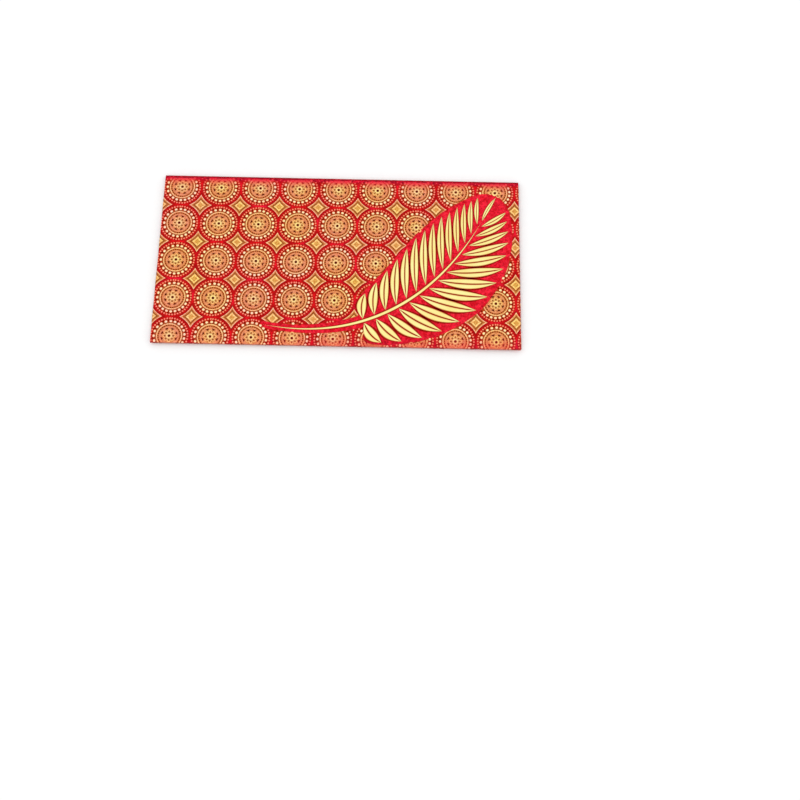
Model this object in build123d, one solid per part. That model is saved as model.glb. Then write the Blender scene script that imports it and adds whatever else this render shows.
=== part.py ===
from build123d import *
import os
from math import ceil

# Gift envelope, lying on its closed flap with the printed front up and the flap's fold at +Y.
# Millimetres. The origin is under the middle of the envelope, on the surface that it lies on.
envelope_width = 178.0
envelope_height = 88.5
paper_thickness = 0.3

# Layers, from the closed flap up to the front panel
flap_clearance = 0.3
glue_thickness = 0.08
pocket_clearance = 0.7

# Back panel, folded up from the bottom edge, with a hollow curve at the pocket's mouth
mouth_depth = 14.0
mouth_dip = 5.0
back_panel_inset = 2.6
back_corner_radius = 4.0

# Side flaps, folded in behind the front and glued to the back panel
side_flap_width = 16.0
side_flap_taper = 5.0
side_flap_corner_radius = 3.0
fold_end_relief = 1.2
glue_width = 7.0
glue_edge_gap = 2.0
glue_end_gap = 8.0

# Scalloped edge of the closure flap: depths run down from the top fold, spreads out from the middle
flap_side_depth = 44.0
flap_lobe_depth = 57.0
flap_lobe_spread = 66.0
flap_crest_depth = 49.8
flap_crest_spread = 23.7
flap_tongue_depth = 55.3

# Gold foil lattice of medallions and diamonds, cut off at the folds and below the top margin
foil_thickness = 0.04
print_top_margin = 1.7
medallion_pitch = 19.6
first_medallion_from_left = 9.1
first_medallion_from_top = 6.6
rim_outer_radius = 8.1
rim_inner_radius = 6.2
rim_sides = 16
rosette_reach = 3.8
rosette_waist = 2.2
rosette_petals = 8
diamond_reach = 5.4
diamond_waist = 3.1
diamond_sides = 4
diamond_shift_share = 0.5
smallest_foil_width = 0.6

# Gold foil frond, on a plain field that interrupts the lattice
frond_spine_shares = ((-0.40, -0.77), (0.14, -0.97), (0.54, -0.44), (0.79, 0.50))
stem_half_width = 0.9
leaflet_pairs = 14
leaflet_first_share = 0.38
leaflet_last_share = 0.98
leaflet_length_shares = (0.44, 0.78, 1.0, 0.98, 0.80, 0.50)
leaflet_longest = 29.0
leaflet_belly_share = 0.75
leaflet_gap = 0.9
leaflet_stem_clearance = 0.3
leaflet_base_angle = 68.0
leaflet_tip_angle = 28.0
field_margin = 2.2

half_width = envelope_width / 2
half_height = envelope_height / 2

# Undersides of the layers
back_z = paper_thickness + flap_clearance
glue_z = back_z + paper_thickness
side_flap_z = glue_z + glue_thickness
front_z = side_flap_z + paper_thickness + pocket_clearance
foil_z = front_z + paper_thickness

# Each fold is half round, from the layer that it carries up to the front panel
top_fold_radius = foil_z / 2
bottom_fold_radius = (foil_z - back_z) / 2
side_fold_radius = (foil_z - side_flap_z) / 2

# Lines where the flat front ends and the folds begin
flat_half_width = half_width - side_fold_radius
flat_top = half_height - top_fold_radius
flat_bottom = bottom_fold_radius - half_height
side_fold_length = flat_top - flat_bottom - 2 * fold_end_relief
flat_middle = (flat_top + flat_bottom) / 2


def sheet(outline, underside, thickness=paper_thickness):
    """Flat piece of an outline, standing on the height of its underside."""
    return Pos(0, 0, underside) * extrude(outline, thickness, dir=(0, 0, 1))


def fold(radius, length, place):
    """Half round crease that bulges along the place's X and runs along its Z."""
    ring = Circle(radius) - Circle(radius - paper_thickness)
    half = ring & Rectangle(radius, 2 * radius, align=(Align.MIN, Align.CENTER))
    return place * extrude(half, length / 2, both=True)


def ring_points(reach, waist, points):
    """Corners of a star: reach and waist take turns round the centre."""
    turn = 180 / points
    radii = (reach, waist)
    return [Vector(radii[i % 2], 0).rotate(Axis.Z, i * turn) for i in range(2 * points)]


# Paper panels
def front_panel():
    return sheet(Pos(0, flat_middle) * Rectangle(2 * flat_half_width, flat_top - flat_bottom), front_z)


def back_panel():
    side = half_width - back_panel_inset
    mouth = half_height - mouth_depth
    walls = Polyline((-side, mouth), (-side, flat_bottom), (side, flat_bottom), (side, mouth))
    lip = ThreePointArc((side, mouth), (0, mouth - mouth_dip), (-side, mouth))
    outline = make_face([walls, lip])
    corners = outline.vertices().group_by(Axis.Y)[-1]
    return sheet(fillet(corners, back_corner_radius), back_z)


def side_flap(side):
    root = side * flat_half_width
    edge = root - side * side_flap_width
    low = flat_middle - side_fold_length / 2
    high = low + side_fold_length
    corners = [(edge, low + side_flap_taper), (edge, high - side_flap_taper)]
    outline = make_face(Polyline((root, high), (root, low), *corners, close=True))
    free = outline.vertices().sort_by_distance((edge, flat_middle))[:2]
    return sheet(fillet(free, side_flap_corner_radius), side_flap_z)


def glue_strip(side):
    middle = side * (half_width - back_panel_inset - glue_edge_gap - glue_width / 2)
    low = flat_bottom + glue_end_gap
    high = half_height - mouth_depth - mouth_dip - glue_end_gap
    return sheet(Pos(middle, (low + high) / 2) * Rectangle(glue_width, high - low), glue_z, glue_thickness)


def closure_flap():
    """Flap whose edge runs from a rounded corner over a lobe and a crest to a tongue in the middle."""
    shoulder = half_height - flap_side_depth
    lobe = Vector(flap_lobe_spread, half_height - flap_lobe_depth)
    crest = Vector(flap_crest_spread, half_height - flap_crest_depth)
    tongue = Vector(0, half_height - flap_tongue_depth)
    across = (-1, 0)
    corner = EllipticalCenterArc(
        (lobe.X, shoulder), flat_half_width - lobe.X, shoulder - lobe.Y, start_angle=270, arc_size=90
    )
    half_edge = [
        Line((0, flat_top), (flat_half_width, flat_top)),
        Line((flat_half_width, flat_top), (flat_half_width, shoulder)),
        corner,
        Spline(lobe, crest, tangents=(across, across)),
        Spline(crest, tongue, tangents=(across, across)),
    ]
    outline = make_face(half_edge + [mirror(edge, about=Plane.YZ) for edge in half_edge])
    return sheet(outline, 0)


# Creases
def side_fold(side):
    middle = (side * flat_half_width, flat_middle, foil_z - side_fold_radius)
    place = Plane(middle, x_dir=(side, 0, 0), z_dir=(0, 1, 0))
    return fold(side_fold_radius, side_fold_length, place)


def bottom_fold():
    place = Plane((0, flat_bottom, foil_z - bottom_fold_radius), x_dir=(0, -1, 0), z_dir=(1, 0, 0))
    return fold(bottom_fold_radius, 2 * (half_width - back_panel_inset), place)


def top_fold():
    place = Plane((0, flat_top, top_fold_radius), x_dir=(0, 1, 0), z_dir=(1, 0, 0))
    return fold(top_fold_radius, 2 * flat_half_width, place)


# Frond: a curved stem with pairs of sickle leaflets and one leaflet at its tip
def spine_curve(bow=0):
    """Line of the stem, bowed to one side by a shift of its two middle control points."""
    start, first, second, end = [Vector(x * half_width, y * half_height) for x, y in frond_spine_shares]
    shift = (end - start).normalized().rotate(Axis.Z, 90) * bow
    return Bezier(start, first + shift, second + shift, end)


spine = spine_curve()
steps = [i / (leaflet_pairs - 1) for i in range(leaflet_pairs)]


def length_share(along):
    """Share of the longest leaflet, read between the listed shares from the first pair to the last."""
    place = along * (len(leaflet_length_shares) - 1)
    low = min(int(place), len(leaflet_length_shares) - 2)
    rest = place - low
    return leaflet_length_shares[low] * (1 - rest) + leaflet_length_shares[low + 1] * rest


def leaflet_axis(along, side):
    """Foot and tip of a leaflet; side is 1 on the left of the stem, -1 on the right."""
    share = leaflet_first_share + (leaflet_last_share - leaflet_first_share) * along
    angle = leaflet_base_angle + (leaflet_tip_angle - leaflet_base_angle) * along
    stem_line = spine % share
    foot = spine @ share + stem_line.rotate(Axis.Z, 90 * side) * (stem_half_width + leaflet_stem_clearance)
    tip = foot + stem_line.rotate(Axis.Z, angle * side) * leaflet_longest * length_share(along)
    return foot, tip


def leaflet_belly(along, side):
    """Way out from a leaflet's middle to its fuller edge, and the width that its neighbour leaves it."""
    foot, tip = leaflet_axis(along, side)
    lower_foot, lower_tip = leaflet_axis(along - steps[1], side)
    outward = (tip - foot).normalized().rotate(Axis.Z, 90 * side)
    room = (lower_foot + lower_tip - foot - tip).dot(outward) / 2
    return outward, room - leaflet_gap


def sickle(foot, tip, outward, width):
    """Leaflet of two arcs, fuller on the side away from the frond's tip."""
    middle = (foot + tip) / 2
    belly = ThreePointArc(foot, middle + outward * width * leaflet_belly_share, tip)
    back = ThreePointArc(tip, middle - outward * width * (1 - leaflet_belly_share), foot)
    return make_face([belly, back])


crown_foot = spine @ 1 + (spine % 1) * leaflet_stem_clearance
crown_tip = crown_foot + (spine % 1) * leaflet_longest * leaflet_length_shares[-1]


def frond_leaflets():
    places = [(along, side) for side in (1, -1) for along in steps]
    pieces = [sickle(*leaflet_axis(*place), *leaflet_belly(*place)) for place in places]
    pieces.append(sickle(crown_foot, crown_tip, *leaflet_belly(1, 1)))
    return [sheet(piece, foil_z, foil_thickness) for piece in pieces]


def frond_stem():
    outline = make_face([spine_curve(stem_half_width), spine_curve(-stem_half_width)])
    return [sheet(outline, foil_z, foil_thickness)]


def field_edge(side):
    """Corners of the plain field on one side of the stem: round the first leaflet, then past every tip."""
    outward, width = leaflet_belly(0, side)
    foot, tip = leaflet_axis(0, side)
    corners = [(foot + tip) / 2 + outward * (width + field_margin)]
    for along in steps:
        foot, tip = leaflet_axis(along, side)
        corners.append(tip + (tip - foot).normalized() * field_margin)
    return corners


def frond_field():
    """Plain ground round the frond: past the leaflets' tips, and along the stem."""
    crown = crown_tip + (spine % 1) * field_margin
    root = spine @ leaflet_first_share
    blade = make_face(Polyline(root, *field_edge(1), crown, *reversed(field_edge(-1)), close=True))
    band = make_face([spine_curve(2 * field_margin), spine_curve(-2 * field_margin)])
    return blade + band + Pos(spine @ 0) * Circle(field_margin)


# Lattice: medallions on a square grid, and diamonds between them
print_top = half_height - print_top_margin
print_middle = (print_top + flat_bottom) / 2
print_area = Pos(0, print_middle) * Rectangle(2 * flat_half_width, print_top - flat_bottom)
lattice_area = print_area - frond_field()
columns = ceil((envelope_width - first_medallion_from_left + rim_outer_radius) / medallion_pitch)
rows = ceil((envelope_height - first_medallion_from_top + rim_outer_radius) / medallion_pitch)


def lattice(figure, shift):
    """Copies of a figure over the printed area, shifted by a share of the pitch, as thin foil pieces."""
    pieces = []
    for column in range(-1, columns + 1):
        for row in range(-1, rows + 1):
            x = first_medallion_from_left - half_width + (column + shift) * medallion_pitch
            y = half_height - first_medallion_from_top - (row + shift) * medallion_pitch
            faces = (Pos(x, y) * figure & lattice_area).faces()
            seen = [face for face in faces if face.area > smallest_foil_width**2]
            pieces += [sheet(face, foil_z, foil_thickness) for face in seen]
    return pieces


def medallion_rims():
    rim = RegularPolygon(rim_outer_radius, rim_sides) - RegularPolygon(rim_inner_radius, rim_sides)
    return lattice(rim, 0)


def medallion_rosettes():
    corners = ring_points(rosette_reach, rosette_waist, rosette_petals)
    return lattice(make_face(Polyline(*corners, close=True)), 0)


def lattice_diamonds():
    """Four tips joined by hollow arcs that run alongside the medallions."""
    points = ring_points(diamond_reach, diamond_waist, diamond_sides)
    starts = range(0, len(points), 2)
    ends = points[2:] + points[:2]
    sides = [ThreePointArc(points[i], points[i + 1], ends[i]) for i in starts]
    return lattice(make_face(sides), diamond_shift_share)


nodes = {
    "front_panel": [front_panel()],
    "back_panel": [back_panel()],
    "left_side_flap": [side_flap(-1)],
    "right_side_flap": [side_flap(1)],
    "left_glue_strip": [glue_strip(-1)],
    "right_glue_strip": [glue_strip(1)],
    "left_fold": [side_fold(-1)],
    "right_fold": [side_fold(1)],
    "bottom_fold": [bottom_fold()],
    "top_fold": [top_fold()],
    "closure_flap": [closure_flap()],
    "medallion_rims": medallion_rims(),
    "medallion_rosettes": medallion_rosettes(),
    "lattice_diamonds": lattice_diamonds(),
    "frond_leaflets": frond_leaflets(),
    "frond_stem": frond_stem(),
}

os.makedirs("parts", exist_ok=True)
for name, pieces in nodes.items():
    export_step(Compound([solid for piece in pieces for solid in piece.solids()]), f"parts/{name}.step")
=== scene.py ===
from cmath import rect
from math import acos, ceil, cos, pi, radians, sin, sqrt, tau

import bmesh
import bpy
import numpy as np
from mathutils import Matrix, Quaternion, Vector


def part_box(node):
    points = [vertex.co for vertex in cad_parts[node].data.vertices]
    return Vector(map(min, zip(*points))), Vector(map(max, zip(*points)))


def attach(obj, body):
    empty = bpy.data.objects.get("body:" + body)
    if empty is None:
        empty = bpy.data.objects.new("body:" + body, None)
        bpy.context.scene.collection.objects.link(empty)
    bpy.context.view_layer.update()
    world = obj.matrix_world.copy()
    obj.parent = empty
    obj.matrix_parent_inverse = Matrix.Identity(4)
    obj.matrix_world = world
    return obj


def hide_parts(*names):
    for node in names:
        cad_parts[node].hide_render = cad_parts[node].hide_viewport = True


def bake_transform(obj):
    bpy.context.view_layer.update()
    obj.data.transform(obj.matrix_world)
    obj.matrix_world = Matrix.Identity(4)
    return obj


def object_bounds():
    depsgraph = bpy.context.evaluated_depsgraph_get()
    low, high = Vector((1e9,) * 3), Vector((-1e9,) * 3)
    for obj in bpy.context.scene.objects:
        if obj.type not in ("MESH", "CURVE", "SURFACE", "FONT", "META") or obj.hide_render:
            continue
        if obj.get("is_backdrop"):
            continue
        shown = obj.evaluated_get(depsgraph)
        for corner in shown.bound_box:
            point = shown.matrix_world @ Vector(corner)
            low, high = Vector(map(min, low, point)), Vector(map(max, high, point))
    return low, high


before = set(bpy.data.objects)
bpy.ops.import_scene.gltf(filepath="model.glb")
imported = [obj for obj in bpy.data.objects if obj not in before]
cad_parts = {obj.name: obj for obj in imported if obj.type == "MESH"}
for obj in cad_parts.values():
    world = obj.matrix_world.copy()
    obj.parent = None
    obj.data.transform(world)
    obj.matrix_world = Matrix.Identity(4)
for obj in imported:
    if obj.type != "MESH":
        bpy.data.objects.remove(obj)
cad_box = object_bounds()

# Paper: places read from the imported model. Every length here is in metres.
front_low, front_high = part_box("front_panel")
paper_thickness = front_high.z - front_low.z
foil_base = front_high.z


def fold_radius(node):
    low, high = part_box(node)
    return (high.z - low.z) / 2


side_fold_radius = fold_radius("right_fold")
bottom_fold_radius = fold_radius("bottom_fold")
top_fold_radius = fold_radius("top_fold")
half_width = front_high.x + side_fold_radius
half_height = front_high.y + top_fold_radius
crease_overhang = 0.00045
fold_line_gap = 0.00003
sheet_grid = 0.001
crease_grid = 0.004
crease_steps = 20
smoothing_angle = radians(40)
merge_distance = 1e-6

# Print: a square lattice of medallions with diamonds between them
pitch = 0.0196
first_from_left = 0.0091
first_from_top = 0.0066
first_medallion = complex(first_from_left - half_width, half_height - first_from_top)
print_top_margin = 0.0017
print_top = half_height - print_top_margin
side_bleed = pi * side_fold_radius
right_extra_bleed = 0.0008
bottom_bleed = 0.002
fold_cut_angles = [radians(turn) for turn in range(0, 180, 30)]

# Medallion, from the rim inwards. Its beads go clockwise from the top: the first turn, then runs of a count
# and a step. The shares are of a bead's height and, for the inset, of its radius.
bead_shoulder_share = 0.35
bead_crown_share = 0.15
bead_inset_share = 0.3
small_bead_circle = 0.00888
small_bead_radius = 0.00044
small_bead_height = 0.00009
small_bead_sides = 6
small_bead_first = radians(4.9)
small_bead_runs = ((26, radians(8.58)), (15, radians(8.70)))
large_bead_circle = 0.00737
large_bead_radius = 0.00066
large_bead_height = 0.00013
large_bead_sides = 8
large_bead_first = radians(2.0)
large_bead_runs = ((14, radians(16.36)), (6, radians(18.75)))
wedge_corners = ((0.00742, 0.00020), (0.00845, 0.00046))
disc_profile = (
    (0.00672, 0.00002),
    (0.00632, 0.00002),
    (0.00622, 0.00008),
    (0.00588, 0.00008),
    (0.00578, 0.00003),
    (0.00484, 0.00003),
    (0.00476, 0.00006),
    (0.00412, 0.00006),
    (0.00404, 0.00003),
)
disc_sides = 40
band_dot_circle = 0.00530
band_dot_radius = 0.00032
band_dot_count = 30
band_dot_sides = 5
petal_count = 8
petal_circle = 0.00232
petal_length = 0.00095
petal_width = 0.00090
petal_heart_circle = 0.00212
petal_heart_length = 0.00054
petal_heart_width = 0.00050
petal_sides = 10
barb_circle = 0.00366
barb_length = 0.00056
barb_width = 0.00128
eye_ring_radius = 0.00158
eye_ring_line = 0.00088
eye_ring_sides = 16
eye_radius = 0.00080
figure_height = 0.00007
ink_height = 0.00005

# Diamond: each side is an arc through two corners and a waist point. Lines run this far inside its edge.
diamond_reach = 0.0056
diamond_waist = 0.00327
diamond_frame_lines = (0.0, 0.00036)
diamond_inner_lines = (0.00150, 0.00232)
diamond_heart_line = 0.00240
diamond_dot_line = 0.00106
diamond_dot_radius = 0.00026
diamond_dots_per_side = 7
diamond_arc_steps = 6
diamond_shift = 0.5
plate_height = 0.00003

# Frond: a curved stem with pairs of sickle leaflets and one leaflet at its tip
frond_spine_shares = ((-0.40, -0.77), (0.14, -0.97), (0.54, -0.44), (0.79, 0.50))
stem_half_width = 0.0009
leaflet_pairs = 14
leaflet_first_share = 0.38
leaflet_last_share = 0.98
leaflet_length_shares = (0.44, 0.78, 1.0, 0.98, 0.80, 0.50)
leaflet_longest = 0.029
leaflet_belly_share = 0.75
leaflet_gap = 0.0009
leaflet_stem_clearance = 0.0003
leaflet_base_angle = radians(68)
leaflet_tip_angle = radians(28)
leaflet_grid = (14, 4)
leaflet_crown_start = 0.1
leaflet_crown_span = 0.8
leaflet_crown_taper = 3
vein_taper = 2
vein_half_gap_share = 0.055
stem_grid = (48, 4)
leaflet_relief = 0.00008
leaflet_edge = 0.00003
outline_height = 0.00001
outline_share = 0.18
outline_steps = 16
stem_outline_gain = 4

# Plain field round the frond, and the prism that cuts the lattice off at its edge
field_margin = 0.0022
field_stem_points = 12
field_start_share = 0.002
field_root_power = 6
field_rounding_passes = 2
field_corner_cut = 0.25
prism_height = 0.002
prism_drop = 0.001

# Viewpoint of the photograph
aim_point = Vector((0.03129, -0.07014, foil_base))
camera_distance = 0.37664
camera_elevation = radians(76.477)
camera_azimuth = radians(-0.796)
camera_roll = radians(1.921)
camera_lens = 36.0
camera_sensor = 36.0

# Stage
table_size = 4
table_drop = 0.0001
sun_angle = radians(40)
sun_energy = 0.25
sun_direction = Vector((0.6, 0.6, -1))


# Modelling steps
def select_whole():
    """Selects all of the piece that is open in edit mode."""
    bpy.ops.mesh.select_all(action="SELECT")


def begin(add, name, **settings):
    """Adds a primitive at the origin as a new piece and opens it in edit mode, selected all over."""
    bpy.ops.object.select_all(action="DESELECT")
    add(**settings)
    piece = bpy.context.object
    piece.name = piece.data.name = name
    bpy.ops.object.mode_set(mode="EDIT")
    select_whole()
    return piece


def begin_grid(name, x_cells, y_cells, size):
    """Adds a flat square grid at the origin as a new piece, opened in edit mode."""
    counts = {"x_subdivisions": x_cells, "y_subdivisions": y_cells}
    return begin(bpy.ops.mesh.primitive_grid_add, name, size=size, **counts)


def pick(*pieces):
    """Selects these pieces alone; the first one is active."""
    bpy.ops.object.select_all(action="DESELECT")
    for piece in pieces:
        piece.select_set(True)
    bpy.context.view_layer.objects.active = pieces[0]
    return pieces[0]


def reopen(piece):
    """Opens a finished piece in edit mode, selected all over."""
    pick(piece)
    bpy.ops.object.mode_set(mode="EDIT")
    select_whole()


def close():
    """Turns all faces outwards and leaves edit mode."""
    select_whole()
    bpy.ops.mesh.normals_make_consistent(inside=False)
    bpy.ops.object.mode_set(mode="OBJECT")


def apply_modifier(piece, kind, **settings):
    pick(piece)
    bpy.ops.object.modifier_add(type=kind)
    modifier = piece.modifiers[-1]
    for name, value in settings.items():
        setattr(modifier, name, value)
    bpy.ops.object.modifier_apply(modifier=modifier.name)


def move_corners(piece, places):
    """Moves the corners of a piece in edit mode to places, in the order in which they were made."""
    shape = bmesh.from_edit_mesh(piece.data)
    for corner, place in zip(shape.verts, places):
        corner.co = place
    bmesh.update_edit_mesh(piece.data)


def join(name, pieces):
    """Joins pieces to one, under one name."""
    joined = pick(*pieces)
    if len(pieces) > 1:
        bpy.ops.object.join()
    joined.name = joined.data.name = name
    return joined


def duplicate(piece, matrix):
    """Copy of a piece with its own mesh, placed by a matrix."""
    copy = piece.copy()
    copy.data = piece.data.copy()
    copy.data.transform(matrix)
    bpy.context.collection.objects.link(copy)
    return copy


def discard(piece):
    bpy.data.objects.remove(piece)


# Foil figures
def oval(length, width, sides, centre=0):
    """Outline of an oval: its width lies along X, its length along Y."""
    turns = [tau * (i + 0.5) / sides for i in range(sides)]
    return [complex(centre + width * cos(turn), length * sin(turn)) for turn in turns]


def foil_figure(name, outline, rise, steps=(), hole=()):
    """Foil figure of an outline, with a hole of as many corners or none. It rises, then steps in and up."""
    fill = "NOTHING" if hole else "NGON"
    piece = begin(bpy.ops.mesh.primitive_circle_add, name, vertices=len(outline), fill_type=fill)
    if hole:
        bpy.ops.mesh.primitive_circle_add(vertices=len(hole), fill_type=fill)
        select_whole()
    move_corners(piece, [(point.real, point.imag, foil_base) for point in [*outline, *hole]])
    if hole:
        bpy.ops.mesh.bridge_edge_loops()
        select_whole()
    bpy.ops.mesh.extrude_region_move(TRANSFORM_OT_translate={"value": (0, 0, rise)})
    for inset, lift in steps:
        bpy.ops.mesh.inset(thickness=inset, depth=lift)
    close()
    return piece


def ring_of(piece, turns):
    """Repeats a figure round the middle of its medallion, at these turns, clockwise."""
    copies = [duplicate(piece, Matrix.Rotation(-turn, 4, "Z")) for turn in turns]
    name = piece.name
    discard(piece)
    return join(name, copies)


def even_turns(count):
    return [tau * i / count for i in range(count)]


def bead_turns(first, runs):
    turns = [first]
    for count, step in runs:
        turns += [turns[-1] + step * (i + 1) for i in range(count)]
    return turns


def bead_ring(name, radius, height, sides, circle, turns):
    """Ring of low domes with rounded shoulders."""
    shoulder = bead_shoulder_share * height
    crown = bead_crown_share * height
    inset = bead_inset_share * radius
    outline = [point * 1j for point in oval(radius, radius, sides, circle)]
    bead = foil_figure(name, outline, height - shoulder - crown, ((inset, shoulder), (inset, crown)))
    return ring_of(bead, turns)


def rim():
    large_turns = bead_turns(large_bead_first, large_bead_runs)
    small_turns = bead_turns(small_bead_first, small_bead_runs)
    large_shape = (large_bead_radius, large_bead_height, large_bead_sides, large_bead_circle)
    small_shape = (small_bead_radius, small_bead_height, small_bead_sides, small_bead_circle)
    large = bead_ring("large_beads", *large_shape, large_turns)
    small = bead_ring("small_beads", *small_shape, small_turns)
    return join("rim_beads", [large, small])


def rim_shade_wedges():
    """Painted shade: a dark wedge in each gap between the large beads, broad at its outer end."""
    turns = bead_turns(large_bead_first, large_bead_runs)
    gaps = [(turn + following) / 2 for turn, following in zip(turns, [*turns[1:], turns[0] + tau])]
    (inner, inner_half), (outer, outer_half) = wedge_corners
    outline = [complex(-inner_half, inner), complex(inner_half, inner)]
    outline += [complex(outer_half, outer), complex(-outer_half, outer)]
    return ring_of(foil_figure("rim_painted_shade", outline, ink_height), gaps)


def disc():
    """Stamped disc with a raised ring, a sunk band and a broader, lower ring."""
    (edge, rise), *inner = disc_profile
    steps, radius, height = [], edge, rise
    for next_radius, next_height in inner:
        steps.append((radius - next_radius, next_height - height))
        radius, height = next_radius, next_height
    return foil_figure("discs", oval(edge, edge, disc_sides), rise, steps)


def rosette():
    """Outlined petals round an eye ring."""
    petal = oval(petal_width, petal_length, petal_sides, petal_circle)
    heart = oval(petal_heart_width, petal_heart_length, petal_sides, petal_heart_circle)
    petals = ring_of(foil_figure("petals", petal, figure_height, hole=heart), even_turns(petal_count))
    edge = oval(eye_ring_radius, eye_ring_radius, eye_ring_sides)
    eye = oval(eye_ring_radius - eye_ring_line, eye_ring_radius - eye_ring_line, eye_ring_sides)
    eye_ring = foil_figure("eye_ring", edge, figure_height, hole=eye)
    return join("rosette_lines", [petals, eye_ring])


def rosette_marks():
    """Ink: broad pointed marks between the petals, the eye, and a ring of dots in the sunk band."""
    half_turn = rect(1, pi / petal_count)
    barb_tip = complex(-barb_length, 0)
    corners = (barb_tip, complex(barb_length, -barb_width), complex(barb_length, barb_width))
    outline = [(barb_circle + corner) * half_turn for corner in corners]
    barbs = ring_of(foil_figure("barbs", outline, ink_height), even_turns(petal_count))
    eye = foil_figure("eye", oval(eye_radius, eye_radius, eye_ring_sides), ink_height)
    dot = [point * 1j for point in oval(band_dot_radius, band_dot_radius, band_dot_sides, band_dot_circle)]
    dot_turns = [turn + pi / band_dot_count for turn in even_turns(band_dot_count)]
    dots = ring_of(foil_figure("band_dots", dot, ink_height), dot_turns)
    return join("rosette_ink", [barbs, eye, dots])


def diamond_outline(inset, steps=diamond_arc_steps):
    """Corners of the hollow-sided diamond, moved in by an inset."""
    waist = diamond_waist / sqrt(2)
    middle = (diamond_reach**2 - 2 * waist**2) / (2 * diamond_reach - 4 * waist)
    radius = sqrt(2) * (middle - waist) + inset
    half_turn = acos(middle / radius)
    outline = []
    for quarter in range(4):
        for step in range(steps):
            turn = -pi / 2 - half_turn + (2 * half_turn - pi / 2) * step / steps
            outline.append((complex(middle, middle) + rect(radius, turn)) * 1j**quarter)
    return outline


def diamond_frames():
    """Two frames and the raised heart inside them."""
    heart = foil_figure("heart", diamond_outline(diamond_heart_line), figure_height)
    frames = [heart]
    for name, lines in (("outer_frame", diamond_frame_lines), ("inner_frame", diamond_inner_lines)):
        outer, inner = (diamond_outline(line) for line in lines)
        frames.append(foil_figure(name, outer, figure_height, hole=inner))
    return join("diamond_frames", frames)


def diamond_dots():
    """Dots in the band between the two frames."""
    track = diamond_outline(diamond_dot_line, diamond_dots_per_side)
    one = foil_figure("dot", oval(diamond_dot_radius, diamond_dot_radius, band_dot_sides), figure_height)
    copies = [duplicate(one, Matrix.Translation((mark.real, mark.imag, 0))) for mark in track]
    discard(one)
    return join("diamond_dots", copies)


def diamond_plate():
    """Thin plate under the frames, hidden below their outer line."""
    edge = sum(diamond_frame_lines) / 2
    return foil_figure("diamond_plates", diamond_outline(edge), plate_height)


# Frond
spine_corners = [complex(x * half_width, y * half_height) for x, y in frond_spine_shares]
spine_samples = 400


def spine_place(way):
    a, b, c, d = spine_corners
    rest = 1 - way
    return a * rest**3 + 3 * b * way * rest**2 + 3 * c * way**2 * rest + d * way**3


spine_ways = np.linspace(0, 1, spine_samples + 1)
spine_lengths = np.append(0, np.cumsum(abs(np.diff(spine_place(spine_ways)))))


def spine_at(share):
    """Place and direction of the stem at a share of its length."""
    way = np.interp(share * spine_lengths[-1], spine_lengths, spine_ways)
    step = 1 / spine_samples
    direction = spine_place(way + step) - spine_place(way - step)
    return spine_place(way), direction / abs(direction)


def spine_side():
    """Direction square to the line from the stem's start to its end."""
    chord = spine_corners[-1] - spine_corners[0]
    return chord / abs(chord) * 1j


def leaflet_axis(along, side):
    """Foot and tip of a leaflet; side is 1 on the left of the stem, -1 on the right."""
    place, direction = spine_at(leaflet_first_share + (leaflet_last_share - leaflet_first_share) * along)
    angle = leaflet_base_angle + (leaflet_tip_angle - leaflet_base_angle) * along
    shares = np.linspace(0, 1, len(leaflet_length_shares))
    length = leaflet_longest * np.interp(along, shares, leaflet_length_shares)
    foot = place + direction * rect(stem_half_width + leaflet_stem_clearance, side * pi / 2)
    return foot, foot + direction * rect(length, side * angle)


def leaflet_belly(along, side):
    """Way out from a leaflet's middle to its fuller edge, and the width that its neighbour leaves it."""
    foot, tip = leaflet_axis(along, side)
    lower_foot, lower_tip = leaflet_axis(along - 1 / (leaflet_pairs - 1), side)
    outward = (tip - foot) / abs(tip - foot) * rect(1, side * pi / 2)
    room = ((lower_foot + lower_tip - foot - tip) * outward.conjugate()).real / 2
    return outward, room - leaflet_gap


leaflet_steps = [i / (leaflet_pairs - 1) for i in range(leaflet_pairs)]
spine_end, spine_end_direction = spine_at(1)
crown_foot = spine_end + spine_end_direction * leaflet_stem_clearance
crown_tip = crown_foot + spine_end_direction * leaflet_longest * leaflet_length_shares[-1]


def field_edge(side):
    """Corners of the plain field on one side of the stem: along the stem, round the first leaflet and past
    every tip."""
    shares = np.linspace(0, leaflet_first_share, field_stem_points)
    ways = np.interp(shares * spine_lengths[-1], spine_lengths, spine_ways)
    band = 2 * field_margin * 3 * ways * (1 - ways) + field_margin * (1 - ways) ** field_root_power
    corners = list(spine_place(ways) + spine_side() * side * band)
    outward, width = leaflet_belly(0, side)
    foot, tip = leaflet_axis(0, side)
    corners.append((foot + tip) / 2 + outward * (width + field_margin))
    for along in leaflet_steps:
        foot, tip = leaflet_axis(along, side)
        corners.append(tip + (tip - foot) / abs(tip - foot) * field_margin)
    return corners


def field_outline():
    """Plain ground round the frond, its corners cut off in passes so that they run round."""
    start, direction = spine_at(field_start_share)
    root = start - direction * field_margin
    crown = crown_tip + spine_end_direction * field_margin
    corners = np.array([root, *field_edge(1), crown, *reversed(field_edge(-1))])
    for _ in range(field_rounding_passes):
        following = np.roll(corners, -1)
        near = (1 - field_corner_cut) * corners + field_corner_cut * following
        far = field_corner_cut * corners + (1 - field_corner_cut) * following
        corners = np.stack([near, far], 1).ravel()
    return corners


field_corners = field_outline()


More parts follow.
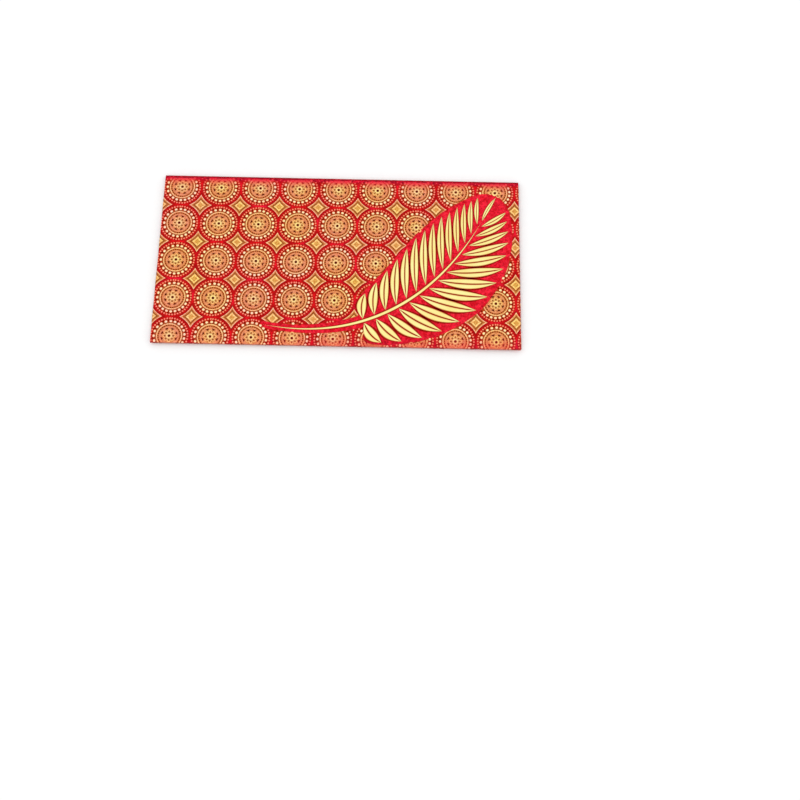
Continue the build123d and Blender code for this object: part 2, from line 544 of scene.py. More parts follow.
def field_depth(places):
    """How far each place lies inside the plain field, negative outside it."""
    place = np.asarray(places)[:, None]
    start, end = field_corners, np.roll(field_corners, -1)
    side = end - start
    along = np.clip(((place - start) * side.conj()).real / abs(side) ** 2, 0, 1)
    nearest = abs(place - start - along * side).min(1)
    crosses = (start.imag > place.imag) != (end.imag > place.imag)
    slope = side.real / np.where(side.imag == 0, 1, side.imag)
    right_of = start.real + slope * (place.imag - start.imag) > place.real
    inside = (crosses & right_of).sum(1) % 2 == 1
    return np.where(inside, nearest, -nearest)


foil_top = foil_base + outline_height + leaflet_edge


def leaflet_half(name, edge_share):
    """Half of a leaflet of unit length and width, from its vein to its edge, crowned across."""
    piece = begin_grid(name, *leaflet_grid, size=2)
    side = 1 if edge_share > 0 else -1
    vein_share = leaflet_belly_share - 0.5
    shape = bmesh.from_edit_mesh(piece.data)
    edge_layer = shape.verts.layers.float.new("foil_edge")
    for corner in shape.verts:
        along, across = (corner.co.x + 1) / 2, (corner.co.y + 1) / 2
        corner[edge_layer] = abs(2 * across - 1)
        bow = 4 * along * (1 - along)
        start = vein_share * bow + side * vein_half_gap_share * min(1, vein_taper * bow)
        crown = sin(pi * (leaflet_crown_start + leaflet_crown_span * across))
        crown *= min(1, leaflet_crown_taper * bow)
        end = edge_share * bow
        if side * (end - start) < 0:
            start = end
        corner.co = (along, start + (end - start) * across, foil_top + leaflet_relief * crown)
    bmesh.update_edit_mesh(piece.data)
    select_whole()
    bpy.ops.mesh.remove_doubles(threshold=merge_distance)
    close()
    return piece


def leaflet_copies(pattern):
    """Lays a leaflet of unit length and width on every leaflet's place."""
    places = [(along, side) for side in (1, -1) for along in leaflet_steps]
    blades = [(*leaflet_axis(*place), *leaflet_belly(*place)) for place in places]
    blades.append((crown_foot, crown_tip, *leaflet_belly(1, 1)))
    copies = []
    for foot, tip, outward, width in blades:
        chord, across = tip - foot, outward * width
        matrix = Matrix.Translation((foot.real, foot.imag, 0))
        matrix[0][0], matrix[0][1] = chord.real, across.real
        matrix[1][0], matrix[1][1] = chord.imag, across.imag
        copies.append(duplicate(pattern, matrix))
    discard(pattern)
    return copies


def frond_leaflets():
    belly = leaflet_half("belly", leaflet_belly_share)
    back = leaflet_half("back", leaflet_belly_share - 1)
    return thicken(join("leaflet_blades", leaflet_copies(join("leaflet_pattern", [belly, back]))))


def frond_shade_outline():
    """Painted shade under the frond: a thin dark line round each leaflet and the stem, and along each vein.
    """
    ways = [i / outline_steps for i in range(outline_steps + 1)]
    edges = (leaflet_belly_share + outline_share, leaflet_belly_share - 1 - outline_share)
    upper, lower = ([complex(way, edge * 4 * way * (1 - way)) for way in ways] for edge in edges)
    leaflets = leaflet_copies(foil_figure("leaflet_painted_shade", upper + lower[-2:0:-1], outline_height))
    spine = [spine_place(way) for way in ways]
    gain = 1 + stem_outline_gain * outline_share
    sides = [spine_side() * (stem_half_width * 3 * way * (1 - way) * gain) for way in ways]
    left = [place + side for place, side in zip(spine, sides)]
    right = [place - side for place, side in zip(spine, sides)]
    stem = foil_figure("stem_painted_shade", right + left[-2:0:-1], outline_height)
    shade_sheet = join("frond_painted_shade", [*leaflets, stem])
    reopen(shade_sheet)
    close()
    return shade_sheet


def frond_stem():
    """Stem that is pointed at both ends and crowned across."""
    piece = begin_grid("stem_blade", *stem_grid, size=2)
    shape = bmesh.from_edit_mesh(piece.data)
    edge_layer = shape.verts.layers.float.new("foil_edge")
    for corner in shape.verts:
        way, across = (corner.co.x + 1) / 2, corner.co.y
        corner[edge_layer] = abs(across)
        place = spine_place(way) + spine_side() * across * stem_half_width * 3 * way * (1 - way)
        corner.co = (place.real, place.imag, foil_top + leaflet_relief * (1 - across**2))
    bmesh.update_edit_mesh(piece.data)
    bpy.ops.mesh.remove_doubles(threshold=merge_distance)
    bpy.ops.object.mode_set(mode="OBJECT")
    return thicken(piece)


def thicken(piece):
    """Gives an open foil sheet its thickness, downwards."""
    reopen(piece)
    shape = bmesh.from_edit_mesh(piece.data)
    for face in shape.faces:
        if face.normal.z < 0:
            face.normal_flip()
    bmesh.update_edit_mesh(piece.data)
    bpy.ops.object.mode_set(mode="OBJECT")
    apply_modifier(piece, "SOLIDIFY", thickness=leaflet_edge, offset=-1)
    return piece


# Lattice
print_limits = (
    (Vector((0, print_top, 0)), Vector((0, 1, 0))),
    (Vector((0, front_low.y - bottom_bleed, 0)), Vector((0, -1, 0))),
    (Vector((front_low.x - side_bleed, 0, 0)), Vector((-1, 0, 0))),
    (Vector((front_high.x + side_bleed + right_extra_bleed, 0, 0)), Vector((1, 0, 0))),
)
fold_bends = (
    (0, 1, front_high.x, side_fold_radius),
    (0, -1, front_low.x, side_fold_radius),
    (1, -1, front_low.y, bottom_fold_radius),
)
columns = ceil(2 * half_width / pitch) + 1
rows = ceil(2 * half_height / pitch) + 1


def loose_parts(shape):
    """Groups of corners that hang together."""
    left = set(shape.verts)
    while left:
        part, queue = [], [left.pop()]
        while queue:
            corner = queue.pop()
            part.append(corner)
            near = {edge.other_vert(corner) for edge in corner.link_edges} & left
            left -= near
            queue += near
        yield part


def past_limits(places):
    """How far the outermost of these places lies past a limit of the print or inside the plain field."""
    corners = [Vector((place.real, place.imag, 0)) for place in places]
    past = max((corner - limit).dot(outward) for corner in corners for limit, outward in print_limits)
    return max(past, field_depth(places).max())


def drop_cut_figures(piece):
    """Takes out the small loose figures whose middle lies past the print's limits or in the plain field."""
    reopen(piece)
    bpy.ops.mesh.select_all(action="DESELECT")
    shape = bmesh.from_edit_mesh(piece.data)
    for part in loose_parts(shape):
        middle = sum(complex(corner.co.x, corner.co.y) for corner in part) / len(part)
        if past_limits([middle]) > 0:
            for corner in part:
                corner.select_set(True)
    shape.select_flush_mode()
    bmesh.update_edit_mesh(piece.data)
    bpy.ops.mesh.delete(type="VERT")
    bpy.ops.object.mode_set(mode="OBJECT")


def trim(piece):
    """Cuts a foil piece off at the limits of the print, and scores it where it will bend round a fold."""
    reopen(piece)
    for place, outward in print_limits:
        select_whole()
        bpy.ops.mesh.bisect(plane_co=place, plane_no=outward, use_fill=True, clear_outer=True)
    for axis, side, line, radius in fold_bends:
        outward = Vector((axis == 0, axis == 1, 0))
        for turn in fold_cut_angles:
            select_whole()
            bpy.ops.mesh.bisect(plane_co=outward * (line + side * radius * turn), plane_no=outward)
    select_whole()
    bpy.ops.mesh.delete_loose(use_verts=True, use_edges=True, use_faces=False)
    close()


def lay_over_folds(piece):
    """Bends what reaches past the flat front round the side folds and the bottom fold."""
    count = len(piece.data.vertices)
    places = np.empty(3 * count)
    piece.data.vertices.foreach_get("co", places)
    places = places.reshape(count, 3)
    for axis, side, line, radius in fold_bends:
        beyond = (places[:, axis] - line) * side
        past = beyond > 0
        turn = np.clip(beyond / radius, 0, pi)
        rest = beyond - turn * radius
        reach = radius + places[:, 2] - foil_base
        bent = line + side * (reach * np.sin(turn) - rest)
        places[:, axis] = np.where(past, bent, places[:, axis])
        places[:, 2] = np.where(past, foil_base - radius + reach * np.cos(turn), places[:, 2])
    piece.data.vertices.foreach_set("co", places.ravel())
    piece.data.update()


def stamp(figure, reach, shift=0.0, cutter=None):
    """Copies a foil figure over the lattice. At the field and the limits it is cut off if there is a cutter,
    and otherwise loses the marks that lie past them."""
    name = figure.name
    whole, crossing = [], []
    for column in range(-1, columns):
        for row in range(-1, rows):
            centre = first_medallion + complex(column + shift, -row - shift) * pitch
            past = past_limits([centre])
            if past > reach:
                continue
            copies = crossing if past > -reach - side_bleed - right_extra_bleed else whole
            copies.append(duplicate(figure, Matrix.Translation((centre.real, centre.imag, 0))))
    discard(figure)
    edge = join(name, crossing)
    if cutter:
        apply_modifier(edge, "BOOLEAN", operation="DIFFERENCE", object=cutter, solver="EXACT")
        trim(edge)
    else:
        drop_cut_figures(edge)
    piece = join(name, [edge, *whole])
    lay_over_folds(piece)
    pick(piece)
    bpy.ops.object.shade_smooth_by_angle(angle=smoothing_angle)
    return piece


# Materials: sizes of the marks on each surface, in metres
print_cloud_size = 0.009
print_mottle_size = 0.0016
print_shimmer_size = 0.0007
print_gloss_size = 0.004
print_tooth_size = 0.0004
paper_fibre_size = 0.0008
paper_tooth_size = 0.0003
crease_fleck_size = 0.0012
# Size of the painted reflection's drift over the foil
foil_reflection_drift_size = 0.03
foil_speck_size = 0.0008
foil_grain_size = 0.0005
frond_drift_size = 0.012
ink_pinhole_size = 0.0008
paste_cloud_size = 0.003
tooth_depth = 0.00004
ground_fade = 0.002
foil_fade = 0.0065
lower_fade = 0.0056
bare_edge = 0.0006

# Ranges and strengths of the looks. Places are in metres, or in shares of the pitch or of a fold's radius.
fade_power = 3.0
lower_fade_left = -0.04
lower_fade_right = 0.0
lower_fade_least = 0.1
lower_fade_most = 0.5
# Painted shade, with wear, along the fold ridges
side_shade_and_wear_start = 0.4
bottom_shade_and_wear_start = 0.6
fold_shade_and_wear = 0.8
gap_start, gap_end = 0.47, 0.51
cloud_middle, sheen_patch_end, deep_end = 0.5, 0.68, 0.3
arc_start, arc_end = 0.1, 0.22
field_rim_start, field_rim_end = 0.00005, 0.0002
shimmer_least, shimmer_most = 0.12, 1.92
gloss_least, gloss_most = 0.4, 0.55
inner_face_slope = -0.98
cut_face_start, cut_face_end = 0.5, 0.1
fibre_stretch = (1, 0.4, 1)
fleck_stretch = (0.3, 1, 1)
foil_wear_start, foil_wear_end = 0.34, 0.6
glint_least, glint_most = 0.6, 1.9
satin_below, satin_above = 0.06, 0.08
amber_start, amber_share = 0.6, 0.85
frond_satin_least, frond_satin_most = 0.3, 0.44

# Tones, by the distance from a medallion's middle as a share of the pitch, or by a noise
ground_tones = (
    (0.0, "#AE3C14"),
    (0.38, "#AE3C14"),
    (0.41, "#B4260A"),
    (0.44, "#BA1408"),
    (0.475, "#AC0806"),
    (0.495, "#E01018"),
)
field_tones = ((0.36, "#C80A1C"), (0.64, "#EE243A"))
upper_strip_tones = ((0.38, "#96081E"), (0.6, "#D4102C"))
figure_tones = (
    (0.0, "#84602A"),
    (0.135, "#C69458"),
    (0.168, "#D8A27C"),
    (0.249, "#B26E38"),
    (0.292, "#FFDAA8"),
    (0.3165, "#7A4018"),
    (0.345, "#FFEEC4"),
    (0.362, "#FFF6DE"),
    (0.388, "#FFD8A4"),
    (0.401, "#FFC4A4"),
    (0.415, "#FF9A86"),
    (0.52, "#FFDCC0"),
    (0.6, "#FFE8A0"),
    (0.654, "#D0B664"),
)
line_tones = ((0.0, "#FFE8A8"), (0.082, "#ECCC92"))
plate_tones = ((0.0, "#C08848"), (0.6, "#9E6A2E"))
# Painted reflection: the foil's tint drifts from rose to yellow over the sheet
reflection_drift_tones = ((0.38, "#FFD8D6"), (0.62, "#FFE5C1"))
maroon_tones = ((0.4, "#480800"), (0.75, "#7C1802"))
# Painted shade for the dark wedges between the large rim beads
rim_shade_tones = ((0.4, "#740C00"), (0.75, "#962004"))
# Painted shade of the frond's embossing, a dark line round its leaflets and stem
frond_shade_tones = ((0.4, "#8C0A08"), (0.75, "#A8140E"))
dyed_tones = ((0.3, "#B80004"), (0.7, "#D20009"))
# Painted shade on the top crease, with pale flecks
crease_shade_tones = ((0.3, "#8A0414"), (0.58, "#AC081C"), (0.78, "#CC3A44"))
lemon_tones = ((0.35, "#FDEB92"), (0.6, "#FFF6A4"))
paste_tones = ((0.3, "#D9C9A0"), (0.7, "#EFE6CC"))

# Sockets of a node that mixes colours
mix_share, mix_base, mix_tint = 0, 6, 7


def hex_colour(code):
    """Linear colour of an sRGB hex value."""
    shares = [int(code[i : i + 2], 16) / 255 for i in (1, 3, 5)]
    return [s / 12.92 if s <= 0.04045 else ((s + 0.055) / 1.055) ** 2.4 for s in shares] + [1.0]


def add_node(tree, kind, inputs=None, output=None, stops=(), steps="LINEAR", **settings):
    """Adds a node and gives one of its outputs, by name or else the first in use. Its inputs take values or
    the sockets that feed them, and stops are a colour ramp's."""
    node = tree.nodes.new("ShaderNode" + kind)
    for name, value in settings.items():
        setattr(node, name, value)
    for socket, value in (inputs or {}).items():
        if isinstance(value, bpy.types.NodeSocket):
            tree.links.new(value, node.inputs[socket])
        else:
            node.inputs[socket].default_value = value
    for i, (place, colour) in enumerate(stops):
        node.color_ramp.interpolation = steps
        elements = node.color_ramp.elements
        element = elements[i] if i < len(elements) else elements.new(place)
        element.position, element.color = place, hex_colour(colour)
    if output:
        return node.outputs[output]
    return next((socket for socket in node.outputs if socket.enabled), None)


def new_finish(name):
    """New material with an empty tree of nodes."""
    made = bpy.data.materials.new(name)
    made.use_nodes = True
    made.node_tree.nodes.clear()
    return made, made.node_tree


def medallion_place(tree):
    """Place within a lattice cell, as shares of the pitch from the medallion's middle."""
    place = add_node(tree, "TexCoord", output="Object")
    corner = (first_medallion.real - pitch / 2, first_medallion.imag - pitch / 2, 0)
    moved = add_node(tree, "VectorMath", {0: place, 1: corner}, operation="SUBTRACT")
    shares = add_node(tree, "VectorMath", {0: moved, "Scale": 1 / pitch}, operation="SCALE")
    cell = add_node(tree, "VectorMath", {0: shares}, operation="FRACTION")
    centred = add_node(tree, "VectorMath", {0: cell, 1: (0.5, 0.5, 0.5)}, operation="SUBTRACT")
    return add_node(tree, "VectorMath", {0: centred, 1: (1, 1, 0)}, operation="MULTIPLY")


def faded_out(tree, colour, tint, reach):
    """Colour that thins out to a tint over a reach below the print's upper edge, and in part along its lower
    edge, more so on the right."""
    place = add_node(tree, "SeparateXYZ", {0: add_node(tree, "TexCoord", output="Object")}, "X").node
    upper = {"Value": place.outputs["Y"], "From Min": print_top - reach, "From Max": print_top - bare_edge}
    upper = add_node(tree, "Math", {0: add_node(tree, "MapRange", upper), 1: fade_power}, operation="POWER")
    rightward = {"Value": place.outputs["X"], "From Min": lower_fade_left, "From Max": lower_fade_right}
    rightward["To Min"] = lower_fade_least
    rightward["To Max"] = lower_fade_most
    lower = {"Value": place.outputs["Y"], "From Min": front_low.y + lower_fade}
    lower["From Max"] = front_low.y + bare_edge
    lower["To Max"] = add_node(tree, "MapRange", rightward)
    share = add_node(tree, "Math", {0: upper, 1: add_node(tree, "MapRange", lower)}, operation="MAXIMUM")
    return add_node(tree, "Mix", {mix_share: share, mix_base: colour, mix_tint: tint}, data_type="RGBA")


def shaded_and_worn_at_folds(tree, colour, tint):
    """Colour that goes to a dark tint along the ridges of the side folds and the bottom fold: partly painted
    shade where the folds turn away, partly rubbed wear.
    """
    place = add_node(tree, "SeparateXYZ", {0: add_node(tree, "TexCoord", output="Object")}, "X").node
    across = add_node(tree, "Math", {0: place.outputs["X"]}, operation="ABSOLUTE")
    side_start = front_high.x + side_shade_and_wear_start * side_fold_radius
    side = {"Value": across, "From Min": side_start, "From Max": half_width}
    ridge = front_low.y - bottom_fold_radius
    bottom_start = ridge + bottom_shade_and_wear_start * bottom_fold_radius
    bottom = {"Value": place.outputs["Y"], "From Min": bottom_start, "From Max": ridge}
    shaded_and_rubbed = {0: add_node(tree, "MapRange", side), 1: add_node(tree, "MapRange", bottom)}
    share = add_node(tree, "Math", shaded_and_rubbed, operation="MAXIMUM")
    share = add_node(tree, "Math", {0: share, 1: fold_shade_and_wear}, operation="MULTIPLY")
    return add_node(tree, "Mix", {mix_share: share, mix_base: colour, mix_tint: tint}, data_type="RGBA")


def dyed_red(tree, place):
    """Deep red of paper dyed in the pulp, mottled by its fibres."""
    along = add_node(tree, "VectorMath", {0: place, 1: fibre_stretch}, operation="MULTIPLY")
    fibre = add_node(tree, "TexNoise", {"Vector": along, "Scale": 1 / paper_fibre_size, "Detail": 4.0})
    return add_node(tree, "ValToRGB", {"Fac": fibre}, stops=dyed_tones)


def coated_paper():
    """Coated art paper, printed: a satin crimson ground that goes dark under the bead rims. Its inner face is
    plain."""
    made, tree = new_finish("coated_printed_paper")
    place = add_node(tree, "TexCoord", output="Object")
    cell = medallion_place(tree)
    distance = add_node(tree, "VectorMath", {0: cell}, operation="LENGTH")
    ground = add_node(tree, "ValToRGB", {"Fac": distance}, stops=ground_tones)

    outside = add_node(tree, "MapRange", {"Value": distance, "From Min": gap_start, "From Max": gap_end})
    cloud = add_node(tree, "TexNoise", {"Vector": place, "Scale": 1 / print_cloud_size})
    spread = add_node(tree, "VectorMath", {0: cell}, operation="ABSOLUTE")
    parts = add_node(tree, "SeparateXYZ", {0: spread}, "X").node
    nearer = add_node(tree, "Math", {0: parts.outputs["X"], 1: parts.outputs["Y"]}, operation="MINIMUM")
    # The rosy patches are painted sheen: lighter patches on the crimson ground
    tints = (
        (cloud, cloud_middle, sheen_patch_end, "#EE1A3C"),
        (cloud, cloud_middle, deep_end, "#9C0408"),
        (nearer, arc_start, arc_end, "#A80C08"),
    )
    for value, first, last, tint in tints:
        share = {"Value": value, "From Min": first, "From Max": last, "To Max": outside}
        tinted = {mix_share: add_node(tree, "MapRange", share), mix_base: ground, mix_tint: hex_colour(tint)}
        ground = add_node(tree, "Mix", tinted, data_type="RGBA")

    depth = add_node(tree, "Attribute", output="Fac", attribute_name="plain_field")
    inside = {"Value": depth, "From Min": field_rim_start, "From Max": field_rim_end}
    mottle = add_node(tree, "TexNoise", {"Vector": place, "Scale": 1 / print_mottle_size, "Detail": 4.0})
    crimson = add_node(tree, "ValToRGB", {"Fac": mottle}, stops=field_tones)
    field = {mix_share: add_node(tree, "MapRange", inside), mix_base: ground, mix_tint: crimson}
    strip = add_node(tree, "ValToRGB", {"Fac": mottle}, stops=upper_strip_tones)
    ground = faded_out(tree, add_node(tree, "Mix", field, data_type="RGBA"), strip, ground_fade)

    # Painted shimmer: fine specks make the ground lighter and darker
    grain = add_node(tree, "TexNoise", {"Vector": place, "Scale": 1 / print_shimmer_size})
    shimmer = add_node(tree, "MapRange", {"Value": grain, "To Min": shimmer_least, "To Max": shimmer_most})
    lit = {mix_share: 1.0, mix_base: ground, mix_tint: shimmer}
    ground = add_node(tree, "Mix", lit, data_type="RGBA", blend_type="MULTIPLY")
    # Painted shade, with wear, along the fold ridges
    ground = shaded_and_worn_at_folds(tree, ground, hex_colour("#86403A"))

    normal = add_node(tree, "SeparateXYZ", {0: add_node(tree, "TexCoord", output="Normal")}, "Z")
    inner = add_node(tree, "Math", {0: normal, 1: inner_face_slope}, operation="LESS_THAN")
    unprinted = {mix_share: inner, mix_base: ground, mix_tint: dyed_red(tree, place)}
    ground = add_node(tree, "Mix", unprinted, data_type="RGBA")

    patches = add_node(tree, "TexNoise", {"Vector": place, "Scale": 1 / print_gloss_size})
    gloss = add_node(tree, "MapRange", {"Value": patches, "To Min": gloss_least, "To Max": gloss_most})
    tooth = add_node(tree, "TexNoise", {"Vector": place, "Scale": 1 / print_tooth_size})
    relief = add_node(tree, "Bump", {"Strength": 0.25, "Distance": tooth_depth, "Height": tooth})
    surface = {"Base Color": ground, "Roughness": gloss, "Specular IOR Level": 0.04, "Normal": relief}
    add_node(tree, "OutputMaterial", {"Surface": add_node(tree, "BsdfPrincipled", surface)})
    return made


def uncoated_paper():
    """Dyed uncoated paper: matt deep red with fibre mottling, and a paler line where it was cut."""
    made, tree = new_finish("dyed_uncoated_paper")
    place = add_node(tree, "TexCoord", output="Object")
    red = dyed_red(tree, place)
    normal = add_node(tree, "SeparateXYZ", {0: add_node(tree, "TexCoord", output="Normal")}, "Z")
    flat = add_node(tree, "Math", {0: normal}, operation="ABSOLUTE")
    cut = add_node(tree, "MapRange", {"Value": flat, "From Min": cut_face_start, "From Max": cut_face_end})
    pale = {mix_share: cut, mix_base: red, mix_tint: hex_colour("#E2636A")}
    colour = add_node(tree, "Mix", pale, data_type="RGBA")
    tooth = add_node(tree, "TexNoise", {"Vector": place, "Scale": 1 / paper_tooth_size, "Detail": 3.0})
    relief = add_node(tree, "Bump", {"Strength": 0.3, "Distance": tooth_depth, "Height": tooth})
    surface = {"Base Color": colour, "Roughness": 0.85, "Specular IOR Level": 0.04, "Normal": relief}
    add_node(tree, "OutputMaterial", {"Surface": add_node(tree, "BsdfPrincipled", surface)})
    return made


def shaded_crease_paper():
    """The same paper bent over: a darker ridge of painted shade, slightly polished, with pale flecks along
    it.
    """
    made, tree = new_finish("shaded_crease_paper")
    place = add_node(tree, "TexCoord", output="Object")
    along = add_node(tree, "VectorMath", {0: place, 1: fleck_stretch}, operation="MULTIPLY")
    fleck = add_node(tree, "TexNoise", {"Vector": along, "Scale": 1 / crease_fleck_size, "Detail": 3.0})
    red = add_node(tree, "ValToRGB", {"Fac": fleck}, stops=crease_shade_tones)
    surface = {"Base Color": red, "Roughness": 0.6, "Specular IOR Level": 0.08}
    add_node(tree, "OutputMaterial", {"Surface": add_node(tree, "BsdfPrincipled", surface)})
    return made


def stamped_foil(name, tones, roughness, wear):
    """Hot-stamped gold foil, overprinted in rings of tone round each medallion: satin metal with a painted
    reflection that goes from yellow to rose over the sheet. It thins out to red at the print's edges and is
    worn in fine specks."""
    made, tree = new_finish(name)
    place = add_node(tree, "TexCoord", output="Object")
    distance = add_node(tree, "VectorMath", {0: medallion_place(tree)}, operation="LENGTH")
    colour = add_node(tree, "ValToRGB", {"Fac": distance}, stops=tones, steps="CONSTANT")
    # Painted reflection that drifts over the sheet
    drift = add_node(tree, "TexNoise", {"Vector": place, "Scale": 1 / foil_reflection_drift_size})
    painted_reflection = add_node(tree, "ValToRGB", {"Fac": drift}, stops=reflection_drift_tones)
    reflection_tinted = {mix_share: 1.0, mix_base: colour, mix_tint: painted_reflection}
    colour = add_node(tree, "Mix", reflection_tinted, data_type="RGBA", blend_type="MULTIPLY")
    speck = add_node(tree, "TexNoise", {"Vector": place, "Scale": 1 / foil_speck_size})
    worn = {"Value": speck, "From Min": foil_wear_start, "From Max": foil_wear_end}
    worn["To Min"] = wear
    worn["To Max"] = 0.0
    bare = {mix_share: add_node(tree, "MapRange", worn), mix_base: colour, mix_tint: hex_colour("#B8561A")}
    colour = add_node(tree, "Mix", bare, data_type="RGBA")
    colour = faded_out(tree, colour, hex_colour("#D8323C"), foil_fade)
    # Painted shade, with wear, along the fold ridges
    colour = shaded_and_worn_at_folds(tree, colour, hex_colour("#946056"))
    # Painted glint: fine specks make the foil lighter and darker
    grain = add_node(tree, "TexNoise", {"Vector": place, "Scale": 1 / foil_grain_size})
    glint = add_node(tree, "MapRange", {"Value": grain, "To Min": glint_least, "To Max": glint_most})
    lit = {mix_share: 1.0, mix_base: colour, mix_tint: glint}
    colour = add_node(tree, "Mix", lit, data_type="RGBA", blend_type="MULTIPLY")
    satin = {"Value": grain, "To Min": roughness - satin_below, "To Max": roughness + satin_above}
    surface = {"Base Color": colour, "Metallic": 0.8, "Roughness": add_node(tree, "MapRange", satin)}
    add_node(tree, "OutputMaterial", {"Surface": add_node(tree, "BsdfPrincipled", surface)})
    return made


def frond_foil():
    """Hot-stamped lemon gold foil: one bright satin tone, a little deeper in places, amber at its edges."""
    made, tree = new_finish("lemon_gold_foil")
    place = add_node(tree, "TexCoord", output="Object")
    drift = add_node(tree, "TexNoise", {"Vector": place, "Scale": 1 / frond_drift_size})
    colour = add_node(tree, "ValToRGB", {"Fac": drift}, stops=lemon_tones)
    edge = add_node(tree, "Attribute", output="Fac", attribute_name="foil_edge")
    thin = add_node(tree, "MapRange", {"Value": edge, "From Min": amber_start, "To Max": amber_share})
    amber = {mix_share: thin, mix_base: colour, mix_tint: hex_colour("#D8802C")}
    colour = add_node(tree, "Mix", amber, data_type="RGBA")
    grain = add_node(tree, "TexNoise", {"Vector": place, "Scale": 1 / foil_grain_size})
    satin = {"Value": grain, "To Min": frond_satin_least, "To Max": frond_satin_most}
    surface = {"Base Color": colour, "Metallic": 0.8, "Roughness": add_node(tree, "MapRange", satin)}
    add_node(tree, "OutputMaterial", {"Surface": add_node(tree, "BsdfPrincipled", surface)})
    return made


def ink_and_shade_finish(name, tones):
    """Dark offset ink: flat, a little glossy, with pinholes where the red shows through, and paler at the
    print's edges. It also serves for the sheets of painted shade round the frond and the rim beads."""
    made, tree = new_finish(name)
    place = add_node(tree, "TexCoord", output="Object")
    pinhole = add_node(tree, "TexNoise", {"Vector": place, "Scale": 1 / ink_pinhole_size})
    colour = add_node(tree, "ValToRGB", {"Fac": pinhole}, stops=tones)
    colour = faded_out(tree, colour, hex_colour("#D0242C"), foil_fade)
    surface = {"Base Color": colour, "Roughness": 0.45, "Specular IOR Level": 0.01}
    add_node(tree, "OutputMaterial", {"Surface": add_node(tree, "BsdfPrincipled", surface)})
    return made


def dried_paste():
    """Dried starch paste: a thin, cloudy, yellowish film."""
    made, tree = new_finish("dried_paste")
    place = add_node(tree, "TexCoord", output="Object")
    cloud = add_node(tree, "TexNoise", {"Vector": place, "Scale": 1 / paste_cloud_size})
    colour = add_node(tree, "ValToRGB", {"Fac": cloud}, stops=paste_tones)
    surface = {"Base Color": colour, "Roughness": 0.5, "Alpha": 0.8}
    add_node(tree, "OutputMaterial", {"Surface": add_node(tree, "BsdfPrincipled", surface)})
    return made


# Paper pieces
def front_sheet():
    """Front panel as a fine grid, with the depth inside the plain field stored for its print."""
    upper = front_high - Vector((0, fold_line_gap, 0))
    size = upper - front_low
    piece = begin_grid("front_sheet", ceil(size.x / sheet_grid), ceil(size.y / sheet_grid), size=1)
    middle = (front_low + upper) / 2
    bpy.ops.transform.resize(value=(size.x, size.y, 1), center_override=(0, 0, 0))
    bpy.ops.transform.translate(value=(middle.x, middle.y, foil_base))
    bpy.ops.object.mode_set(mode="OBJECT")
    apply_modifier(piece, "SOLIDIFY", thickness=paper_thickness, offset=-1)
    depths = field_depth([complex(corner.co.x, corner.co.y) for corner in piece.data.vertices])
    field = piece.data.attributes.new("plain_field", "FLOAT", "POINT")
    field.data.foreach_set("value", depths.astype(np.float32))
    return piece


def crease(name, length, radius, turn, edge):
    """Half round of paper along an edge of the front. It is made facing +Y, then turned to face out of its
    edge."""
    piece = begin_grid(name, ceil(length / crease_grid), 2, size=1)
    bpy.ops.transform.resize(value=(length, paper_thickness, 1), center_override=(0, 0, 0))
    bpy.ops.transform.rotate(value=pi / 2, orient_axis="X", center_override=(0, 0, 0))
    bpy.ops.transform.translate(value=(0, 0, foil_base - paper_thickness / 2))
    bpy.ops.mesh.spin(steps=crease_steps, angle=pi, center=(0, 0, foil_base - radius), axis=(1, 0, 0))
    close()
    piece.data.transform(Matrix.Translation((*edge, 0)) @ Matrix.Rotation(turn, 4, "Z"))
    pick(piece)
    bpy.ops.object.shade_smooth_by_angle(angle=smoothing_angle)
    return piece


# Stage
def add_turned(data, rotation):
    """Puts a lamp or a camera into the scene and turns it."""
    added = bpy.data.objects.new(data.name, data)
    added.rotation_mode = "QUATERNION"
    added.rotation_quaternion = rotation
    bpy.context.collection.objects.link(added)
    return added


def studio():
    """White table, even white surroundings and one broad soft sun from the front left."""
    bpy.ops.object.select_all(action="DESELECT")
    bpy.ops.mesh.primitive_plane_add(size=table_size, location=(0, 0, -table_drop))
    table = bpy.context.object
    table.name = "table"
    made, tree = new_finish("white_table")
    surface = {"Base Color": hex_colour("#FCFCFC"), "Roughness": 0.9, "Specular IOR Level": 0.0}
    add_node(tree, "OutputMaterial", {"Surface": add_node(tree, "BsdfPrincipled", surface)})
    table.data.materials.append(made)
    table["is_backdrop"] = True
    world = bpy.data.worlds.new("white_surroundings")
    world.use_nodes = True
    bpy.context.scene.world = world
    sky = world.node_tree.nodes["Background"]
    sky.inputs["Color"].default_value = (1, 1, 1, 1)
    sky.inputs["Strength"].default_value = 1.0
    sun = bpy.data.lights.new("soft_sun", "SUN")
    sun.angle = sun_angle
    sun.energy = sun_energy
    add_turned(sun, sun_direction.to_track_quat("-Z", "Y"))


def viewpoint():
    """Camera where the photograph was taken from."""
    level = cos(camera_elevation)
    back = Vector((level * sin(camera_azimuth), -level * cos(camera_azimuth), sin(camera_elevation)))
    data = bpy.data.cameras.new("viewpoint")
    data.lens, data.sensor_width = camera_lens, camera_sensor
    camera = add_turned(data, (-back).to_track_quat("-Z", "Y") @ Quaternion((0, 0, 1), camera_roll))
    camera.location = aim_point + back * camera_distance
    bpy.context.scene.camera = camera


# Assembly
printed = coated_paper()
plain = uncoated_paper()
creased = shaded_crease_paper()
figure_gold = stamped_foil("stamped_gold_foil", figure_tones, roughness=0.4, wear=0.6)
bead_gold = stamped_foil("stamped_bead_foil", figure_tones, roughness=0.38, wear=0.15)
plate_gold = stamped_foil("stamped_bronze_foil", plate_tones, roughness=0.42, wear=0.5)
line_gold = stamped_foil("stamped_line_foil", line_tones, roughness=0.36, wear=0.25)
frond_gold = frond_foil()
maroon_ink = ink_and_shade_finish("maroon_ink", maroon_tones)
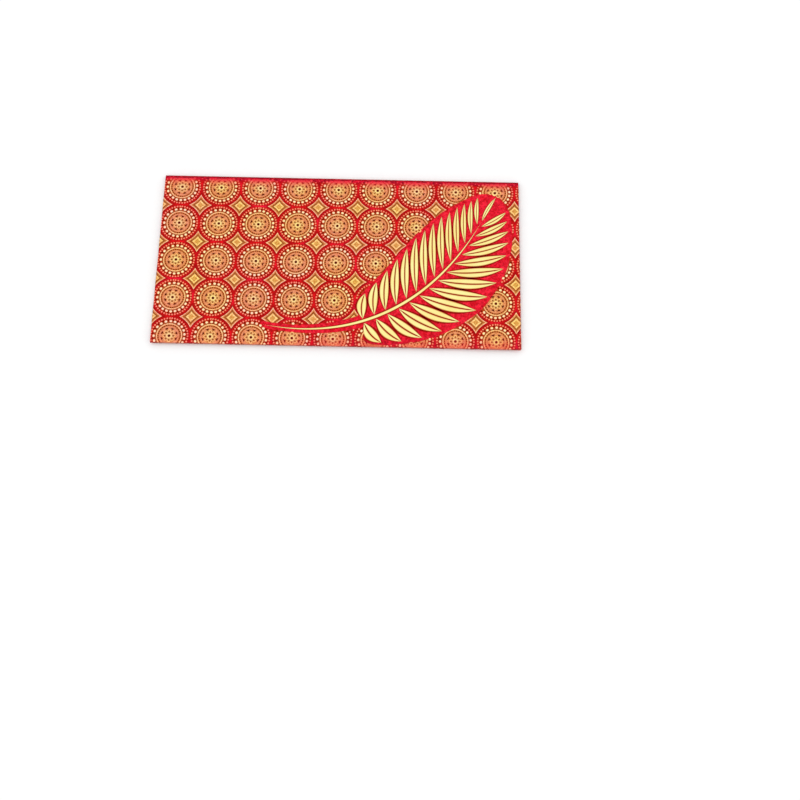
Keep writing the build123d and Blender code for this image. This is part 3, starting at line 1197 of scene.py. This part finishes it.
# Painted shade in the gaps between the large rim beads
rim_shade_finish = ink_and_shade_finish("rim_shade_finish", rim_shade_tones)
# Painted shade round the frond
frond_shade_finish = ink_and_shade_finish("frond_shade_finish", frond_shade_tones)
paste = dried_paste()

prism = foil_figure("field_prism", list(field_corners), prism_height)
prism.data.transform(Matrix.Translation((0, 0, -prism_drop)))

sheet = front_sheet()
long_crease = front_high.x - front_low.x + 2 * crease_overhang
short_crease = front_high.y - front_low.y - fold_line_gap
middle_height = (front_high.y + front_low.y - fold_line_gap) / 2
top = crease("top_crease", long_crease, top_fold_radius, 0, (0, front_high.y))
bottom = crease("bottom_crease", long_crease, bottom_fold_radius, pi, (0, front_low.y))
left = crease("left_crease", short_crease, side_fold_radius, pi / 2, (front_low.x, middle_height))
right = crease("right_crease", short_crease, side_fold_radius, -pi / 2, (front_high.x, middle_height))
medallion_reach = small_bead_circle + small_bead_radius
disc_reach = disc_profile[0][0]
beads = stamp(rim(), medallion_reach)
shade_wedges = stamp(rim_shade_wedges(), medallion_reach)
discs = stamp(disc(), disc_reach, cutter=prism)
lines = stamp(rosette(), disc_reach)
marks = stamp(rosette_marks(), disc_reach)
plates = stamp(diamond_plate(), diamond_reach, diamond_shift, prism)
frames = stamp(diamond_frames(), diamond_reach, diamond_shift, prism)
dots = stamp(diamond_dots(), diamond_reach, diamond_shift)
leaflets = frond_leaflets()
stem = frond_stem()
outline = frond_shade_outline()
discard(prism)

finishes = (
    (sheet, printed, "printed_paper", ("front_panel",)),
    (bottom, printed, "printed_paper", ("bottom_fold",)),
    (left, printed, "printed_paper", ("left_fold",)),
    (right, printed, "printed_paper", ("right_fold",)),
    (beads, bead_gold, "gold_foil", ("medallion_rims",)),
    (shade_wedges, rim_shade_finish, "printed_paper", ()),
    (discs, figure_gold, "gold_foil", ("medallion_rosettes",)),
    (lines, line_gold, "gold_foil", ()),
    (marks, maroon_ink, "printed_paper", ()),
    (plates, plate_gold, "gold_foil", ("lattice_diamonds",)),
    (frames, figure_gold, "gold_foil", ()),
    (dots, maroon_ink, "printed_paper", ()),
    (leaflets, frond_gold, "gold_foil", ("frond_leaflets",)),
    (stem, frond_gold, "gold_foil", ("frond_stem",)),
    (outline, frond_shade_finish, "printed_paper", ()),
)
for piece, finish, slot, nodes in finishes:
    piece.data.materials.clear()
    piece.data.materials.append(finish)
    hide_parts(*nodes)
    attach(piece, "pocket")

# Painted shade on the top crease
top.data.materials.append(creased)
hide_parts("top_fold")
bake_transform(top)

carried_over = {
    "back_panel": plain,
    "left_side_flap": plain,
    "right_side_flap": plain,
    "closure_flap": plain,
    "left_glue_strip": paste,
    "right_glue_strip": paste,
}
for node, finish in carried_over.items():
    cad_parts[node].material_slots[0].material = finish

studio()
viewpoint()
bpy.context.scene.view_settings.view_transform = "Standard"

visual_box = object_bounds()
boxes = {"cad": cad_box, "visual": visual_box}
{name: [list(corner) for corner in box] for name, box in boxes.items()}
